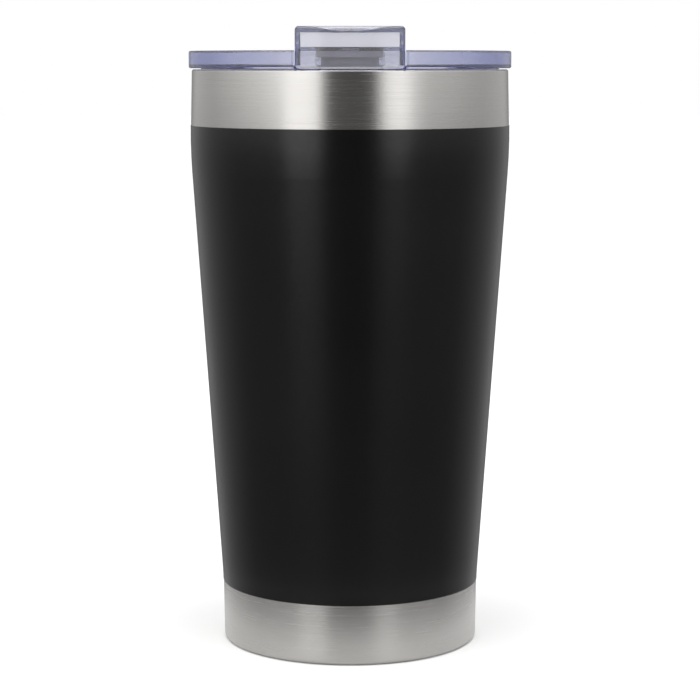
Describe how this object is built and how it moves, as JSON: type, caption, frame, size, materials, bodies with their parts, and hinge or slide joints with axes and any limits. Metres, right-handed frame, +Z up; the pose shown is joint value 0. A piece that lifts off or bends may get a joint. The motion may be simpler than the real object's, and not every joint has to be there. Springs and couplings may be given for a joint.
{
  "type": "insulated tumbler",
  "caption": "Tapered double-wall steel tumbler with a black coated body, bare steel bands at lip and foot, and a clear press-in lid with a hinged flip flap.",
  "frame": {"origin": "middle of the foot, on the surface that the cup stands on", "axes": "+Z up along the cup's axis, -Y towards the flap's thumb tab, +X to the right seen from the front"},
  "size_m": [0.088, 0.088, 0.169],
  "materials": {
    "brushed_steel": "brushed round the axis",
    "satin_steel": "satin, electropolished",
    "black_coat": "satin black powder coat",
    "clear_plastic": "clear, faint blue tint, polished",
    "silicone": "translucent silicone",
    "foil": "bright foil",
    "seal_glass": "fused glass",
    "getter": "sintered, matt"
  },
  "bodies": {
    "cup": {"outer_shell": "brushed_steel", "black_coat": "black_coat", "inner_cup": "satin_steel", "radiation_foil": "foil", "base_plate": "satin_steel", "vacuum_seal": "seal_glass", "base_cover": "brushed_steel", "getter": "getter", "getter_clip": "satin_steel"},
    "lid": {"lid_body": "clear_plastic", "lid_gasket": "silicone"},
    "flap": {"flip_flap": "clear_plastic", "flap_plug": "silicone"}
  },
  "joints": [
    {"name": "lid_lift", "type": "slide", "parent": "cup", "child": "lid", "axis": [0, 0, 1], "range_m": [0, 0.03]},
    {"name": "flap_hinge", "type": "hinge", "parent": "lid", "child": "flap", "pos_m": [0, -0.004, 0.16135], "axis": [-1, 0, 0], "range_deg": [0, 105]}
  ]
}
